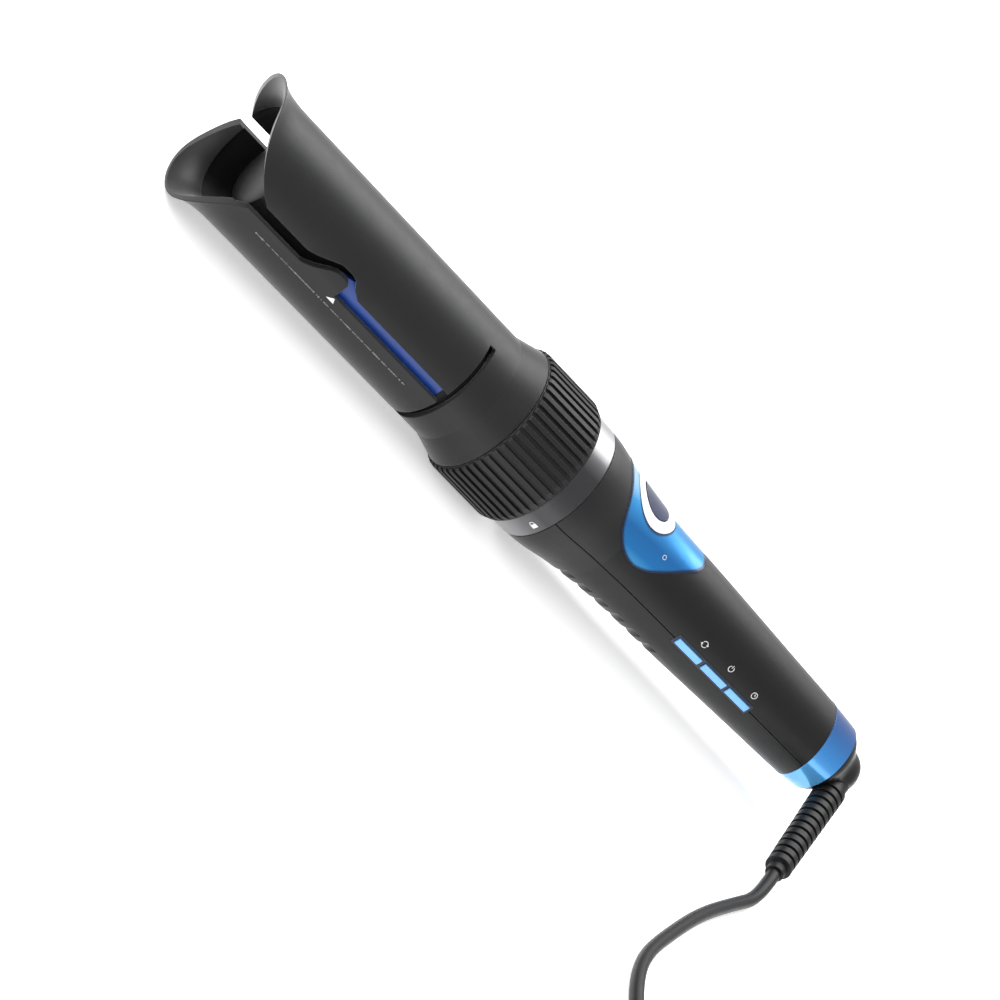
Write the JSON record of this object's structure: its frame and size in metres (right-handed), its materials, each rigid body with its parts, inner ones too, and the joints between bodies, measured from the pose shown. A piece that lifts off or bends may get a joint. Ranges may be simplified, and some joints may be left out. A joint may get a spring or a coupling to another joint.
{
  "type": "automatic hair curler",
  "caption": "Hand-held automatic hair curler: a petalled cover round a heated barrel and blue hair rotor, twist ring, tapered handle with a shield panel and side keys, and a swivel cord.",
  "frame": {"origin": "bottom centre of the curler without its cord, lying with its axis level", "axes": "+X along the spindle from the mouth to the cord end, +Z to the control panel's side, -Y to the side keys"},
  "size_m": [0.3792, 0.3419, 0.0544],
  "materials": {
    "charcoal_shell": "soft-touch matte",
    "black_grip": "ribbed matte",
    "satin_ring": "satin",
    "rotor_blue": "smooth heat-proof",
    "barrel_coat": "ceramic-coated",
    "tip_black": "moulded",
    "bush_plastic": "glass-filled",
    "chassis_grey": "moulded",
    "steel": "turned",
    "spreader_alloy": "extruded",
    "heater_ceramic": "ceramic in film",
    "gear_nylon": "natural nylon",
    "brass_gear": "cut",
    "panel_blue": "metallic gloss",
    "light_white": "frosted light guide",
    "disc_navy": "gloss",
    "bezel_navy": "satin",
    "key_blue": "satin",
    "board_green": "solder mask",
    "board_black": "moulded",
    "wire_red": "insulated",
    "tail_blue": "metallic gloss",
    "copper": "plated",
    "cord_black": "matte PVC",
    "tie_black": "matte"
  },
  "bodies": {
    "handle": {"mark_ring": "satin_ring", "chassis": "chassis_grey", "heated_barrel": "barrel_coat", "barrel_tip": "tip_black", "barrel_bush": "bush_plastic", "barrel_nut": "steel", "heater_element": "heater_ceramic", "heat_spreaders": "spreader_alloy", "thermal_sensor": "steel", "thermal_fuse": "steel", "gearbox_case": "steel", "motor_can": "steel", "motor_screws": "steel", "handle_upper_shell": "charcoal_shell", "handle_lower_shell": "charcoal_shell", "shell_screws": "steel", "panel_lens": "panel_blue", "light_ring": "light_white", "start_switch": "board_black", "button_bezel": "bezel_navy", "key_board": "board_green", "key_switches": "board_black", "control_board": "board_green", "board_parts": "board_black", "heater_leads": "wire_red", "supply_leads": "wire_red", "tail_ring": "tail_blue", "swivel_bearing": "bush_plastic", "contact_brushes": "copper"},
    "cover": {"outer_cover": "charcoal_shell"},
    "lock_ring": {"lock_ring": "black_grip"},
    "hair_rotor": {"hair_rotor": "rotor_blue", "rotor_hub": "bush_plastic", "ring_gear": "gear_nylon"},
    "drive_pinion": {"drive_pinion": "brass_gear"},
    "start_button": {"start_button": "disc_navy"},
    "direction_button": {"direction_button": "key_blue"},
    "power_button": {"power_button": "key_blue"},
    "timer_button": {"timer_button": "key_blue"},
    "cord_swivel": {"swivel_dome": "tip_black", "swivel_clip": "steel", "contact_disc": "copper", "strain_relief": "cord_black", "cord_tube": "cord_black", "cord_coil": "cord_black", "coil_tie": "tie_black", "plug_body": "cord_black", "plug_blades": "steel"}
  },
  "joints": [
    {"name": "cover_pull", "type": "slide", "parent": "handle", "child": "cover", "axis": [-1, 0, 0], "range_m": [0, 0.135]},
    {"name": "lock_ring_twist", "type": "hinge", "parent": "handle", "child": "lock_ring", "pos_m": [-0.0178, 0, 0.0272], "axis": [1, 0, 0], "range_deg": [0, 24]},
    {"name": "rotor_spin", "type": "hinge", "parent": "handle", "child": "hair_rotor", "pos_m": [-0.0438, 0, 0.0272], "axis": [1, 0, 0], "continuous": true},
    {"name": "pinion_spin", "type": "hinge", "parent": "handle", "child": "drive_pinion", "pos_m": [-0.0318, 0, 0.0146], "axis": [1, 0, 0], "continuous": true},
    {"name": "start_press", "type": "slide", "parent": "handle", "child": "start_button", "axis": [0, 0, -1], "range_m": [0, 0.0008], "stiffness_N_per_m": 300, "springref_m": -0.001},
    {"name": "direction_press", "type": "slide", "parent": "handle", "child": "direction_button", "axis": [0, 1, 0], "range_m": [0, 0.0008], "stiffness_N_per_m": 200, "springref_m": -0.001},
    {"name": "power_press", "type": "slide", "parent": "handle", "child": "power_button", "axis": [0, 1, 0], "range_m": [0, 0.0008], "stiffness_N_per_m": 200, "springref_m": -0.001},
    {"name": "timer_press", "type": "slide", "parent": "handle", "child": "timer_button", "axis": [0, 1, 0], "range_m": [0, 0.0008], "stiffness_N_per_m": 200, "springref_m": -0.001},
    {"name": "cord_swivel_turn", "type": "hinge", "parent": "handle", "child": "cord_swivel", "pos_m": [0.1572, 0, 0.0272], "axis": [1, 0, 0], "continuous": true}
  ],
  "couplings": [
    {"joint": "pinion_spin", "follows": "rotor_spin", "ratio": 3.3333}
  ]
}
